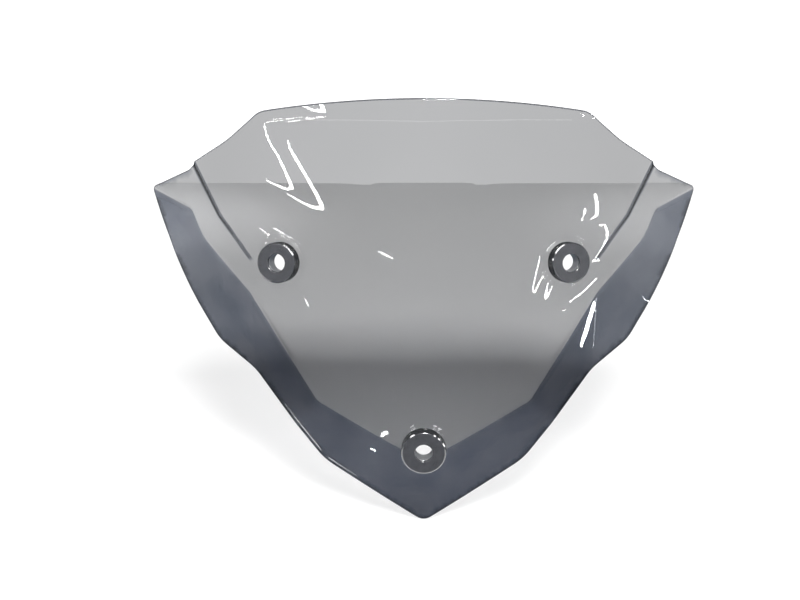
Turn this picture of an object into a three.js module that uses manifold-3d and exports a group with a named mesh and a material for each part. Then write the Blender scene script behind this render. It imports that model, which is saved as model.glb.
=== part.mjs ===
// Smoked fly screen for a motorcycle: one moulded panel and three sets of fixing hardware.
//
// The screen is drawn in its own plan: x to the rider's left or right of the middle, y up along
// the screen, z outwards from its front face. All lengths are in millimetres. At the end
// the whole assembly is leaned back by RAKE, so that +Z is up and the front faces -Y, and its
// origin is put at the middle of the three fixing points.
import * as THREE from 'three';
import { mergeVertices } from 'three/addons/utils/BufferGeometryUtils.js';
import { TessellateModifier } from 'three/addons/modifiers/TessellateModifier.js';
import Module from 'manifold-3d';

// ---------- driving dimensions ----------
const RAKE = THREE.MathUtils.degToRad(20);
const GAP = 0.3;

// the curved sheet
const WALL = 3.0;
const SIDE_RADIUS = 238;
const LENGTH_RADIUS = 450;
const CROWN_Y = 73.3;
const MAX_FACET = 17;
const MAX_SPLITS = 14;

// the outline of the right half, from the top middle down to the tip
const TOP_MIDDLE_Y = 107.1;
const TOP_CORNER = [89.4, 102.1];
const SHOULDER = [107.8, 87.1];
const STEP_TOP = [127.6, 75.8];
const WING_ROOT = [130.9, 72.6];
const WING_TIP = [153.4, 64.1];
const WING_EDGE = [142.9, 23.9];
const WING_FOOT = [116.0, -22.1];
const NOTCH = [94.7, -38.7];
const KEEL_BEND = [56.8, -90.3];
const KEEL_TIP = [0, -127.7];
const TIP_EASE = 5;
const ARCH_STEPS = 8;
// its corners in order, each with the length over which it is eased and the steps in that curve
const CORNERS = [
  [TOP_CORNER, 3.5, 3], [SHOULDER, 5, 2], [STEP_TOP, 0, 0], [WING_ROOT, 0, 0], [WING_TIP, 3, 3],
  [WING_EDGE, 36, 6], [WING_FOOT, 5, 3], [NOTCH, 5, 2], [KEEL_BEND, 6, 3],
];

// the lip, a narrow band along the top edge that leans forward
const LIP_MIDDLE_Y = 94.7;
const LIP_END = [85.2, 97.1];
const LIP_RUN_OUT = [1, 0.22];
const LIP_SLOPE = 0.16;

// the step, where the wing drops behind the edge of the main panel
const STEP_BEND = [115.5, 52.5];
const STEP_END = [94.2, 24.7];
const STEP_HEIGHT = 8;
const STEP_DRAFT = 1.0;
const REAR_STEP_OFFSET = -2.2;
const STEP_EASE = 0.25;

// the folds where the flange turns back, from the wing tip to the middle, and its slopes
const FOLD = [[151.2, 62.9], [128.2, 51.0], [121.0, 35.0], [94.5, 4.9], [57.5, -55.0], [0, -89.7]];
const WING_SLOPE = 0.66;
const SIDE_SLOPE = 0.90;
const KEEL_SLOPE = 0.92;
const KEEL_ROUND = 8;

// the fixing points and the flat pads round them
const UPPER_FIXING = [77.1, 20.6];
const LOWER_FIXING = [0, -81];
const UPPER_PAD_RADIUS = 14;
const LOWER_PAD_RADIUS = 12.4;
const REAR_PAD_RADIUS = 10.2;
const PAD_EDGE = 2.2;
const RING_STEPS = 24;
const TOP_RING_STEPS = 6;
const FOOT_RING_STEPS = 8;
const HALF_RING_STEPS = TOP_RING_STEPS + FOOT_RING_STEPS;

// the fixing hardware, radii and heights above the pad
const BORE_RADIUS = 4.85;
const BOSS_RADIUS = 11;
const LOWER_BOSS_RADIUS = 12.2;
const BOSS_HEIGHT = 6.6;
const BOSS_LIP = 1.8;
const BOSS_EDGE = 0.7;
const BORE_EDGE = 0.35;
const SLEEVE_WALL = 0.8;
const SEAT_RADIUS = BORE_RADIUS + SLEEVE_WALL + GAP;
const DAMPER_RADIUS = 9.5;
const DAMPER_HOLE_RADIUS = 6.4;
const DAMPER_THICKNESS = 1.5;
const ROUND_SIDES = 32;

const wasm = await Module();
wasm.setup();

// ---------- plan geometry ----------
const point = ([x, y]) => new THREE.Vector2(x, y);
const foldPoints = FOLD.map(point);
const notch = point(NOTCH);

// A corner eased into a short arc; length is the stretch taken from each side.
function eased(before, corner, after, length, steps) {
  const start = corner.clone().add(before.clone().sub(corner).setLength(length));
  const end = corner.clone().add(after.clone().sub(corner).setLength(length));
  return new THREE.QuadraticBezierCurve(start, corner, end).getPoints(steps);
}

// The right half of the outline, from the top middle to the tip.
function halfOutline() {
  const arch = [];
  for (let i = 0; i < ARCH_STEPS; i += 1) {
    const f = i / ARCH_STEPS;
    arch.push(new THREE.Vector2(TOP_CORNER[0] * f, archHeight(f)));
  }
  const corners = CORNERS
    .map(([corner, length, steps]) => ({ corner: point(corner), length, steps }));
  const outline = [...arch];
  corners.forEach(({ corner, length, steps }, i) => {
    const before = i === 0 ? arch[arch.length - 1] : corners[i - 1].corner;
    const after = i === corners.length - 1 ? point(KEEL_TIP) : corners[i + 1].corner;
    if (length === 0) outline.push(corner);
    else outline.push(...eased(before, corner, after, length, steps));
  });
  const tip = point(KEEL_TIP);
  const across = new THREE.Vector2(-KEEL_BEND[0], KEEL_BEND[1]);
  const tipArc = eased(point(KEEL_BEND), tip, across, TIP_EASE, 4);
  // the middle of this curve is the lowest point, where the left half begins
  tipArc[2].x = 0;
  outline.push(...tipArc.slice(0, 3));
  return outline;
}

function archHeight(fraction) {
  return TOP_MIDDLE_Y - (TOP_MIDDLE_Y - TOP_CORNER[1]) * fraction * fraction;
}

const outline = halfOutline();
const TINY = 1e-6;
const MERGE_DISTANCE = 0.4;

// Where the ray from start along direction leaves the outline; the point becomes part of it.
function meetOutline(start, direction) {
  for (let i = 0; i < outline.length - 1; i += 1) {
    const edge = outline[i + 1].clone().sub(outline[i]);
    const across = direction.cross(edge);
    if (across === 0) continue;
    const reach = outline[i].clone().sub(start);
    const along = reach.cross(edge) / across;
    const part = reach.cross(direction) / across;
    if (along < TINY || part < -TINY || part > 1 + TINY) continue;
    const end = start.clone().addScaledVector(direction, along);
    const near = [outline[i], outline[i + 1]].find((p) => p.distanceTo(end) < MERGE_DISTANCE);
    if (near) return near;
    const met = outline[i].clone().addScaledVector(edge, part);
    outline.splice(i + 1, 0, met);
    return met;
  }
  throw new Error('the ray meets no edge');
}

function outlineRun(from, to) {
  return outline.slice(outline.indexOf(from), outline.indexOf(to) + 1);
}

// ---------- the flange facets ----------
// A facet hangs from one fold line; outward is the direction in which it falls away.
function facet(i, slope = 1) {
  const along = foldPoints[i + 1].clone().sub(foldPoints[i]).normalize();
  const outward = new THREE.Vector2(-along.y, along.x);
  return { from: foldPoints[i], outward, slope };
}

function drop({ from, outward, slope }, x, y) {
  return -slope * (outward.x * (x - from.x) + outward.y * (y - from.y));
}

const wingTop = facet(0, WING_SLOPE);
const wingSide = facet(1, WING_SLOPE);
const flankUpper = facet(2);
const flankLower = facet(3, SIDE_SLOPE);
const keel = facet(4, KEEL_SLOPE);
// the slope of the upper flank makes its fold with the lower flank run into the notch
flankUpper.slope = drop(flankLower, notch.x, notch.y) / drop(flankUpper, notch.x, notch.y);

// The line along which two facets meet, from their shared corner out to the edge.
function valley(a, b, corner) {
  const difference = a.outward.clone().multiplyScalar(a.slope)
    .sub(b.outward.clone().multiplyScalar(b.slope));
  const direction = new THREE.Vector2(-difference.y, difference.x).normalize();
  if (direction.dot(a.outward.clone().add(b.outward)) < 0) direction.negate();
  return meetOutline(corner, direction);
}

// ---------- the height of the front face over the plan ----------
function dome(x, y) {
  return -x * x / (2 * SIDE_RADIUS) - (y - CROWN_Y) ** 2 / (2 * LENGTH_RADIUS);
}

function lipRise(x, y) {
  const line = LIP_MIDDLE_Y + (LIP_END[1] - LIP_MIDDLE_Y) * x / LIP_END[0];
  return LIP_SLOPE * Math.max(0, y - line);
}

function flangeDrop(x, y) {
  const top = drop(wingTop, x, y);
  const side = Math.min(drop(wingSide, x, y), drop(flankUpper, x, y));
  const below = Math.min(drop(flankLower, x, y), drop(keel, Math.hypot(x, KEEL_ROUND), y));
  const corner = foldPoints[3];
  const outside = (notch.x - corner.x) * (y - corner.y) - (notch.y - corner.y) * (x - corner.x) > 0;
  return Math.min(0, outside ? Math.max(top, side) : below);
}

const stepEnd = point(STEP_END);
const stepLength = point(STEP_TOP).distanceTo(stepEnd);
const stepAlong = point(STEP_TOP).sub(stepEnd).normalize();

// How far the wing lies below the main panel; it starts softly at the end of the step.
function wingDrop(x, y) {
  const f = ((x - stepEnd.x) * stepAlong.x + (y - stepEnd.y) * stepAlong.y) / stepLength;
  return f > 0 ? -STEP_HEIGHT * (1 + STEP_EASE) * f * f / (STEP_EASE + f) : 0;
}

// 0 on the main panel and 1 on the wing, with a short ramp that starts at offset. Its ends are
// snapped, so that points on the ramp's own edges lie exactly on the panel or the wing.
const SNAP = 0.08;

function wingShare(x, y, offset) {
  const bend = point(STEP_BEND);
  const lower = bend.clone().sub(stepEnd);
  const upper = point(STEP_TOP).sub(bend);
  const p = new THREE.Vector2(x, y);
  const onLower = p.clone().sub(stepEnd).dot(lower) / lower.lengthSq();
  if (onLower <= 0) return 0;
  const lowerSide = -lower.cross(p.clone().sub(stepEnd)) / lower.length();
  const upperSide = -upper.cross(p.clone().sub(bend)) / upper.length();
  const side = Math.max(lowerSide, upperSide) / Math.min(1, onLower);
  const share = THREE.MathUtils.clamp((side - offset) / STEP_DRAFT, 0, 1);
  if (share < SNAP) return 0;
  return share > 1 - SNAP ? 1 : share;
}

// ---------- the fixing points ----------
function fixing([x, y], padRadius) {
  const slope = new THREE.Vector2(-x / SIDE_RADIUS, -(y - CROWN_Y) / LENGTH_RADIUS);
  const axis = new THREE.Vector3(-slope.x, -slope.y, 1).normalize();
  return { x, y, z: dome(x, y), slope, axis, padRadius };
}

const upperFixing = fixing(UPPER_FIXING, UPPER_PAD_RADIUS);
const lowerFixing = fixing(LOWER_FIXING, LOWER_PAD_RADIUS);

function padPlane(f, x, y) {
  return f.z + f.slope.x * (x - f.x) + f.slope.y * (y - f.y);
}

function padDistance(f, x, y) {
  return Math.hypot(x - f.x, y - f.y, padPlane(f, x, y) - f.z);
}

// 1 on the flat pad of a fixing, 0 beyond its sloping edge.
function padShare(f, x, y, radius) {
  return THREE.MathUtils.clamp((radius + PAD_EDGE - padDistance(f, x, y)) / PAD_EDGE, 0, 1);
}

// The sheet's height on the right half without its pads; share is 1 on the wing side of the step.
function sheetHeight(x, y, share) {
  return dome(x, y) + lipRise(x, y) + flangeDrop(x, y) + share * wingDrop(x, y);
}

// The sheet's normal, from its slope between points h to either side.
function sheetNormal(x, y) {
  const h = 0.8;
  const dx = (sheetHeight(x + h, y, 1) - sheetHeight(Math.abs(x - h), y, 1)) / (2 * h);
  const dy = (sheetHeight(x, y + h, 1) - sheetHeight(x, y - h, 1)) / (2 * h);
  return new THREE.Vector3(-dx, -dy, 1).normalize();
}

// A ring on the pad of a fixing, seen in plan, from one angle to another.
function padRing(f, radius, fromAngle, toAngle, steps) {
  const across = new THREE.Vector3(1, 0, f.slope.x).normalize();
  const up = f.axis.clone().cross(across);
  const ring = [];
  for (let i = 0; i <= steps; i += 1) {
    const a = fromAngle + (toAngle - fromAngle) * i / steps;
    const p = across.clone().multiplyScalar(radius * Math.cos(a))
      .addScaledVector(up, radius * Math.sin(a));
    ring.push(new THREE.Vector2(f.x + p.x, f.y + p.y));
  }
  return ring;
}

// ---------- the plan, cut along every fold and step line ----------
function planRegions() {
  const [fold0, fold1, fold2, fold3, fold4, fold5] = foldPoints;
  const lipStart = new THREE.Vector2(0, LIP_MIDDLE_Y);
  const lipEnd = point(LIP_END);
  const lipEdge = meetOutline(lipEnd, point(LIP_RUN_OUT));

  const bend = point(STEP_BEND);
  const upper = point(STEP_TOP).sub(bend).normalize();
  const lower = bend.clone().sub(stepEnd).normalize();
  const toWing = upper.clone().add(lower).normalize();
  toWing.set(toWing.y, -toWing.x);
  const stepLine = (offset) => {
    const corner = bend.clone().addScaledVector(toWing, offset);
    return { corner, edge: meetOutline(corner, upper) };
  };
  const lines = [REAR_STEP_OFFSET, REAR_STEP_OFFSET + STEP_DRAFT, 0, STEP_DRAFT].map(stepLine);

  const foldEdge = meetOutline(fold1, fold0.clone().sub(fold1).normalize());
  const topValley = valley(wingTop, wingSide, fold1);
  const sideValley = valley(wingSide, flankUpper, fold2);
  const notchValley = valley(flankUpper, flankLower, fold3);
  const keelValley = valley(flankLower, keel, fold4);

  // where the keel fold runs into the pad of the lower fixing, found by halving
  const toMiddle = fold5.clone().sub(fold4);
  let outer = 0;
  let inner = 1;
  while (inner - outer > TINY) {
    const middle = (outer + inner) / 2;
    const p = fold4.clone().addScaledVector(toMiddle, middle);
    if (padDistance(lowerFixing, p.x, p.y) > lowerFixing.padRadius + PAD_EDGE) outer = middle;
    else inner = middle;
  }
  const foldInPad = fold4.clone().addScaledVector(toMiddle, outer);
  const rise = (foldInPad.y - lowerFixing.y) / lowerFixing.axis.z;
  const foldAngle = Math.atan2(rise, foldInPad.x);
  const padOutside = lowerFixing.padRadius + PAD_EDGE;
  const padTop = padRing(lowerFixing, padOutside, foldAngle, Math.PI / 2, TOP_RING_STEPS);
  const padFoot = padRing(lowerFixing, padOutside, -Math.PI / 2, foldAngle, FOOT_RING_STEPS);
  padTop[0] = foldInPad;
  padFoot[FOOT_RING_STEPS] = foldInPad;
  const innerRadii = (f) => [f.padRadius, REAR_PAD_RADIUS + PAD_EDGE, REAR_PAD_RADIUS];
  const halfRings = innerRadii(lowerFixing)
    .map((radius) => padRing(lowerFixing, radius, -Math.PI / 2, Math.PI / 2, HALF_RING_STEPS));
  for (const p of [padTop, padFoot, ...halfRings].flat()) {
    if (Math.abs(p.x) < TINY) p.x = 0;
  }
  const fullRings = [upperFixing.padRadius + PAD_EDGE, ...innerRadii(upperFixing)]
    .map((radius) => padRing(upperFixing, radius, 0, 2 * Math.PI, RING_STEPS).slice(0, -1));

  const regions = [];
  const add = (points, hole) => regions.push({ points, hole });
  add([lipStart, lipEnd, ...outlineRun(outline[0], lipEdge).reverse()]);
  add([lipStart, lipEnd, ...outlineRun(lipEdge, lines[0].edge), lines[0].corner, stepEnd, fold3,
    fold4, ...padTop], fullRings[0]);
  for (let i = 0; i < 3; i += 1) {
    const a = lines[i];
    const b = lines[i + 1];
    add([stepEnd, a.corner, ...outlineRun(a.edge, b.edge), b.corner]);
  }
  add([stepEnd, lines[3].corner, ...outlineRun(lines[3].edge, foldEdge), fold1, fold2, fold3]);
  add([fold1, ...outlineRun(foldEdge, topValley)]);
  add([fold2, fold1, ...outlineRun(topValley, sideValley)]);
  add([fold3, fold2, ...outlineRun(sideValley, notchValley)]);
  add([fold4, fold3, ...outlineRun(notchValley, keelValley)]);
  const last = outline[outline.length - 1];
  add([foldInPad, fold4, ...outlineRun(keelValley, last), ...padFoot.slice(0, -1)]);
  let ring = [...padFoot, ...padTop.slice(1)];
  for (const inner of halfRings) {
    add([...ring, ...inner.slice().reverse()]);
    ring = inner;
  }
  add(ring);
  for (let i = 0; i < 3; i += 1) add(fullRings[i], fullRings[i + 1]);
  add(fullRings[3]);
  return regions;
}

// ---------- the panel ----------
function planTriangles() {
  const splitter = new TessellateModifier(MAX_FACET, MAX_SPLITS);
  const triangles = [];
  for (const { points, hole } of planRegions()) {
    const shape = new THREE.Shape(points);
    if (hole) shape.holes.push(new THREE.Path(hole));
    const flat = new THREE.ShapeGeometry(shape);
    flat.deleteAttribute('normal');
    flat.deleteAttribute('uv');
    const position = splitter.modify(flat).getAttribute('position');
    for (let i = 0; i < position.count; i += 3) {
      const corners = [0, 1, 2].map((k) => [position.getX(i + k), position.getY(i + k)]);
      triangles.push(corners);
      triangles.push(corners.map(([x, y]) => [-x, y]).reverse());
    }
  }
  return triangles;
}

function frontPoint([x, y]) {
  const ax = Math.abs(x);
  let z = sheetHeight(ax, y, wingShare(ax, y, 0));
  for (const f of [upperFixing, lowerFixing]) {
    z += padShare(f, ax, y, f.padRadius) * (padPlane(f, ax, y) - z);
  }
  return [x, y, z];
}

// The rear face lies one wall behind the front, with its pads and step drawn in by a wall too.
function rearPoint([x, y]) {
  const ax = Math.abs(x);
  let z = sheetHeight(ax, y, wingShare(ax, y, REAR_STEP_OFFSET));
  const normal = sheetNormal(ax, y);
  for (const f of [upperFixing, lowerFixing]) {
    const share = padShare(f, ax, y, REAR_PAD_RADIUS);
    z += share * (padPlane(f, ax, y) - z);
    normal.lerp(f.axis, share);
  }
  normal.setLength(WALL);
  return [x - Math.sign(x) * normal.x, y - normal.y, z - normal.z];
}

function sheetSolid() {
  const places = new Map();
  const faces = [];
  // points that agree to a micrometre are one
  const place = (p) => {
    const key = p.map((c) => Math.round(c * 1000)).join(',');
    if (!places.has(key)) places.set(key, { index: places.size, p });
    return places.get(key).index;
  };
  const edges = new Map();
  for (const triangle of planTriangles()) {
    const corners = triangle.map(place);
    if (new Set(corners).size < 3) continue;
    faces.push(corners);
    corners.forEach((a, i) => edges.set(`${a},${corners[(i + 1) % 3]}`, [a, corners[(i + 1) % 3]]));
  }
  const plan = [...places.values()].map(({ p }) => p);
  const count = plan.length;
  const vertices = [...plan.map(frontPoint), ...plan.map(rearPoint)].flat();
  const index = [];
  for (const [a, b, c] of faces) index.push(a, b, c, c + count, b + count, a + count);
  for (const [a, b] of edges.values()) {
    if (edges.has(`${b},${a}`)) continue;
    index.push(a + count, b + count, b, a + count, b, a);
  }
  return solid(vertices, index);
}

// ---------- solids and meshes ----------
const MERGED_VERTEX = 1e-4;

function solid(vertices, index) {
  return new wasm.Manifold(new wasm.Mesh({
    numProp: 3,
    vertProperties: new Float32Array(vertices),
    triVerts: new Uint32Array(index),
  }));
}

function solidOf(geometry, matrix) {
  const g = geometry.clone();
  g.deleteAttribute('normal');
  g.deleteAttribute('uv');
  const merged = mergeVertices(g.applyMatrix4(matrix), MERGED_VERTEX);
  return solid(merged.getAttribute('position').array, merged.index.array);
}

function geometryOf(manifold) {
  const { vertProperties, triVerts } = manifold.getMesh();
  const geometry = new THREE.BufferGeometry();
  geometry.setAttribute('position', new THREE.BufferAttribute(vertProperties, 3));
  geometry.setIndex(new THREE.BufferAttribute(triVerts, 1));
  geometry.computeVertexNormals();
  return geometry;
}

// A ring turned about +Y from a closed section of [radius, height] points, listed anticlockwise.
function turned(section) {
  const closed = [...section, section[0]].map(point);
  return new THREE.LatheGeometry(closed, ROUND_SIDES);
}

function material(color, roughness, metalness) {
  return new THREE.MeshStandardMaterial({ color, roughness, metalness });
}

const FINISH = {
  screen: material(0x6d7178, 0.06, 0),
  boss: material(0x26282b, 0.22, 0),
  rubber: material(0x17181a, 0.75, 0),
  steel: material(0xb4b6b8, 0.35, 1),
};

// ---------- the fixing hardware ----------
const SEAT_TOP = BOSS_HEIGHT - BOSS_LIP;
const bossSection = (radius) => [
  [BORE_RADIUS, SEAT_TOP],
  [SEAT_RADIUS, SEAT_TOP],
  [SEAT_RADIUS, GAP],
  [radius, GAP],
  [radius, BOSS_HEIGHT - BOSS_EDGE],
  [radius - 0.3 * BOSS_EDGE, BOSS_HEIGHT - 0.3 * BOSS_EDGE],
  [radius - BOSS_EDGE, BOSS_HEIGHT],
  [BORE_RADIUS + BORE_EDGE, BOSS_HEIGHT],
  [BORE_RADIUS, BOSS_HEIGHT - BORE_EDGE],
];

const SLEEVE_SECTION = [
  [BORE_RADIUS, -WALL],
  [BORE_RADIUS + SLEEVE_WALL, -WALL],
  [BORE_RADIUS + SLEEVE_WALL, SEAT_TOP - GAP],
  [BORE_RADIUS, SEAT_TOP - GAP],
];

const DAMPER_FRONT = -WALL - GAP;
const DAMPER_REAR = DAMPER_FRONT - DAMPER_THICKNESS;
const DAMPER_SECTION = [
  [DAMPER_HOLE_RADIUS, DAMPER_REAR],
  [DAMPER_RADIUS, DAMPER_REAR],
  [DAMPER_RADIUS, DAMPER_FRONT],
  [DAMPER_HOLE_RADIUS, DAMPER_FRONT],
];

function named(name, geometry, finish) {
  const mesh = new THREE.Mesh(geometry, finish);
  mesh.name = name;
  return mesh;
}

// One fixing point: its group stands on the pad with +Y along the hole, out of the front face.
function fixingGroup(side, f, bossRadius) {
  const group = new THREE.Group();
  const mirror = side === 'left' ? -1 : 1;
  const axis = new THREE.Vector3(mirror * f.axis.x, f.axis.y, f.axis.z);
  group.position.set(mirror * f.x, f.y, f.z);
  group.quaternion.setFromUnitVectors(new THREE.Vector3(0, 1, 0), axis);
  group.add(named(`mount_boss_${side}`, turned(bossSection(bossRadius)), FINISH.boss));
  group.add(named(`sleeve_${side}`, turned(SLEEVE_SECTION), FINISH.steel));
  group.add(named(`damper_${side}`, turned(DAMPER_SECTION), FINISH.rubber));
  group.updateMatrix();
  return group;
}

// ---------- the assembly ----------
const fixings = [
  fixingGroup('left', upperFixing, BOSS_RADIUS),
  fixingGroup('right', upperFixing, BOSS_RADIUS),
  fixingGroup('lower', lowerFixing, LOWER_BOSS_RADIUS),
];

let panel = sheetSolid();
const drill = new THREE.CylinderGeometry(SEAT_RADIUS, SEAT_RADIUS, 6 * WALL, ROUND_SIDES);
for (const group of fixings) panel = panel.subtract(solidOf(drill, group.matrix));

const screen = new THREE.Group();
screen.add(named('screen_panel', geometryOf(panel), FINISH.screen));
screen.add(...fixings);

// the origin is the middle of the three fixing points, on the front face
const middle = new THREE.Vector3();
for (const group of fixings) middle.addScaledVector(group.position, 1 / fixings.length);
screen.position.copy(middle.negate());

const assembly = new THREE.Group();
assembly.add(screen);
assembly.rotation.x = Math.PI / 2 - RAKE;

export default assembly;
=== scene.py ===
"""A smoked clear fly screen for a motorcycle, with its three round fixing bosses."""
import math

import bpy
import numpy as np
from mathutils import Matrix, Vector
from mathutils.geometry import delaunay_2d_cdt

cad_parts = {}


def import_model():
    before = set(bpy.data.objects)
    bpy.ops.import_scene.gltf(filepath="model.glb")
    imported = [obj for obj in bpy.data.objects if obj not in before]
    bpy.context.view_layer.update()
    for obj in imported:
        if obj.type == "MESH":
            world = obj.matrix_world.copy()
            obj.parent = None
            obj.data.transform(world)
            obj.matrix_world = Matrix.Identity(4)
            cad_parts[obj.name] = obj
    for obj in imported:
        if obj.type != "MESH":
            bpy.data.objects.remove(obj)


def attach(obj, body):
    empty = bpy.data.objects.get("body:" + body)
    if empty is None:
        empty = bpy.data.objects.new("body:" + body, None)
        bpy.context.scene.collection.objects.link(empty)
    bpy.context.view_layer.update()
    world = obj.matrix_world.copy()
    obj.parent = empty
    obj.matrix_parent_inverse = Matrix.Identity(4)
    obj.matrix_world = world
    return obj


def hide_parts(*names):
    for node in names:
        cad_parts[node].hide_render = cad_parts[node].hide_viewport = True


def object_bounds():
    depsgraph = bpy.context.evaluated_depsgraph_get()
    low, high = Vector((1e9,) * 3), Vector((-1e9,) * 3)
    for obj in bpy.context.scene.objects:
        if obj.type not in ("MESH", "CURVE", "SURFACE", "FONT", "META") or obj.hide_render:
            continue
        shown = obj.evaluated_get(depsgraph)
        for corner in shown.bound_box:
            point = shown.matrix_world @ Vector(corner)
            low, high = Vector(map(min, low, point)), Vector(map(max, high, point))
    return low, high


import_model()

cad_low, cad_high = [list(corner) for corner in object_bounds()]

MM = 0.001
RAKE = math.radians(20)

# ---------- driving dimensions, in mm: x across, y up the screen, z out of its front ----------
WALL = 3.0
SIDE_RADIUS = 238
LENGTH_RADIUS = 450
CROWN_Y = 73.3

TOP_MIDDLE_Y = 107.1
TOP_CORNER = (89.4, 102.1)
KEEL_TIP = (0, -127.7)
NOTCH = np.array((94.7, -38.7))
# the corners of the right half from the top down, each with the length over which it is eased
CORNERS = [
    (TOP_CORNER, 3.5),
    ((107.8, 87.1), 5),
    ((127.6, 75.8), 1.2),
    ((130.9, 72.6), 1.0),
    ((153.4, 64.1), 3),
    ((142.9, 23.9), 36),
    ((116.0, -22.1), 5),
    (NOTCH, 5),
    ((56.8, -90.3), 6),
    (KEEL_TIP, 5),
]
ARCH_STEPS = 60
EDGE_STEP = 1.2
SHORTEST_EDGE = 0.05
# a point this far past the middle line still counts as on it
MIDDLE_SLACK = 1e-9
RIM_RADIUS = 0.8
RIM_STEPS = 5

LIP_MIDDLE_Y = 94.7
LIP_END = (85.2, 97.1)
LIP_SLOPE = 0.16
LIP_ROUND = 0.3

# the step between the main panel and the wing: its line in the plan, and its height at the top
STEP_TOP = np.array((126.4, 76.5))
STEP_BEND = np.array((111.0, 46.9))
STEP_END = np.array((92.5, 21.6))
STEP_HEIGHT = 8
STEP_EASE = 0.1
# how far its front and rear walls reach outside that line, and the share to which this tapers down it
STEP_WIDTH = 2.6
STEP_EDGE_SOFTNESS = 0.05
REAR_STEP_OFFSET = -0.2
REAR_STEP_WIDTH = 2.2
STEP_TAPER = 0.6
# its dark band of painted shade: how far that reaches inside and outside the line, how deep the shade is,
# and how it fades there
BAND_INSIDE = 0.8
BAND_OUTSIDE = 2.9
BAND_SHADE = 1.7
BAND_INSIDE_FADE = 0.25
BAND_OUTSIDE_FADE = 0.5
BAND_END_FADE = 0.08

# the fold where the flange turns back, from the tip of the wing down to the middle
FOLD = np.array([(151.2, 62.9), (128.2, 51.0), (121.0, 35.0), (94.5, 4.9), (57.5, -55.0), (0, -89.7)])
WING_SLOPE = 0.66
SIDE_SLOPE = 0.90
KEEL_SLOPE = 0.92
KEEL_ROUND = 8
VALLEY_ROUND = 1.0
FOLD_ROUND = 1.2
REAR_FOLD_ROUND = 2.2
REAR_FOLD_SHIFT = 0.8
# seen from this far in front, each rear crease lies behind its front one in this plastic
VIEW_DISTANCE = 900
PLASTIC_IOR = 1.585

# the painted shade of the flange reaches its full depth over this height below the sheet
SHADE_WIDTH = 0.5
# painted shade added on the rounded rim, which takes it towards near black
RIM_SHADE = 1.3
# below this level the front face is painted darker at the rim too, as painted shade
DARK_RIM_TOP = 76
RIM_FACE_SHADE = 1.0

BORE_RADIUS = 4.85
BORE_FILLET = 0.5
SLEEVE_WALL = 0.8
# the sleeve stands in a seat that runs through the sheet and up into the boss
SEAT_RADIUS = 5.95
SEAT_EDGE = 0.15
SEAT_FILLET = 0.1
BOSS_RADII = {"left": 11, "right": 11, "lower": 12.2}
BOSS_HEIGHT = 6.6
BOSS_FILLET = 0.9
BOSS_LIP = 1.8
DAMPER_RADIUS = 9.5
DAMPER_HOLE_RADIUS = 6.4
DAMPER_THICKNESS = 1.5
# at the inner and outer edges of its rear face
DAMPER_FILLETS = (0.3, 0.6)
# the damper also fills the gap that the CAD leaves between it and the sheet
CAD_GAP = 0.3
# pieces that touch keep this gap, so that no two faces coincide
TOUCH_GAP = 0.04
SMALL_FILLET = 0.15
ROUND_SIDES = 96
# the flat pads round the fixings: a radius, and the width over which the sheet joins it
UPPER_PAD = (12.8, 2.6)
LOWER_PAD = (12.2, 1.0)
REAR_PAD = (10.2, 2.2)

# the points that the sheet's triangles join, and the smallest gaps between those of each kind
PLAN_HEIGHT = 240
PLAN_HALF_WIDTH = 160
GRID_STEP = 3.0
GRID_GAP = 1.9
CREASE_STEP = 1.3
CREASE_GAP = 0.45
CREASE_ROWS = (-2.3, -1.7, -1.1, -0.55, 0, 0.55, 1.1, 1.7, 2.3, 3.0, 3.7)
VALLEY_REACH = 70
LIP_REACH = 97
STEP_ROWS = (-1.1, -0.8, -0.55, -0.3, 0, 0.12, 0.25, 0.4, 0.6, 0.85, 1.2, 1.6, 2.1, 2.6, 3.1, 3.6)
STEP_REACH = 34
STEP_GAP = 0.24
RING_ROWS = (7.4, 8.6)
RING_GAP = 0.4
# a point this close to the middle line moves onto it, and two points this close are one
MIDDLE_SNAP = 0.4
CLOSEST = 1e-5


# ---------- the height of the sheet over its plan ----------
def smooth_min(a, b, width):
    h = np.clip(width - np.abs(a - b), 0, None) / width
    return np.minimum(a, b) - h * h * width / 4


def smooth_max(a, b, width):
    return -smooth_min(-a, -b, width)


def smooth_ramp(t):
    t = np.clip(t, 0, 1)
    return t * t * (3 - 2 * t)


def unit(v):
    return v / np.linalg.norm(v)


def dome(x, y):
    """The height of the main panel."""
    return -x * x / (2 * SIDE_RADIUS) - (y - CROWN_Y) ** 2 / (2 * LENGTH_RADIUS)


def lip_line(x):
    return LIP_MIDDLE_Y + (LIP_END[1] - LIP_MIDDLE_Y) * x / LIP_END[0]


def lip_rise(x, y):
    return smooth_max(0 * x, LIP_SLOPE * (y - lip_line(x)), LIP_ROUND)


class Facet:
    """One facet of the flange, which falls away from a stretch of the fold."""

    def __init__(self, i, slope):
        along = unit(FOLD[i + 1] - FOLD[i])
        self.corner = FOLD[i]
        self.outward = np.array((-along[1], along[0]))
        self.slope = slope

    def height(self, x, y):
        """Its height over the sheet, which is below zero outside the fold."""
        reach = self.outward[0] * (x - self.corner[0]) + self.outward[1] * (y - self.corner[1])
        return -self.slope * reach


wing_top = Facet(0, WING_SLOPE)
wing_side = Facet(1, WING_SLOPE)
flank_lower = Facet(3, SIDE_SLOPE)
keel = Facet(4, KEEL_SLOPE)
flank_upper = Facet(2, 1)
# this slope makes the two flanks meet along the line from the fold to the notch
flank_upper.slope = flank_lower.height(*NOTCH) / flank_upper.height(*NOTCH)


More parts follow.
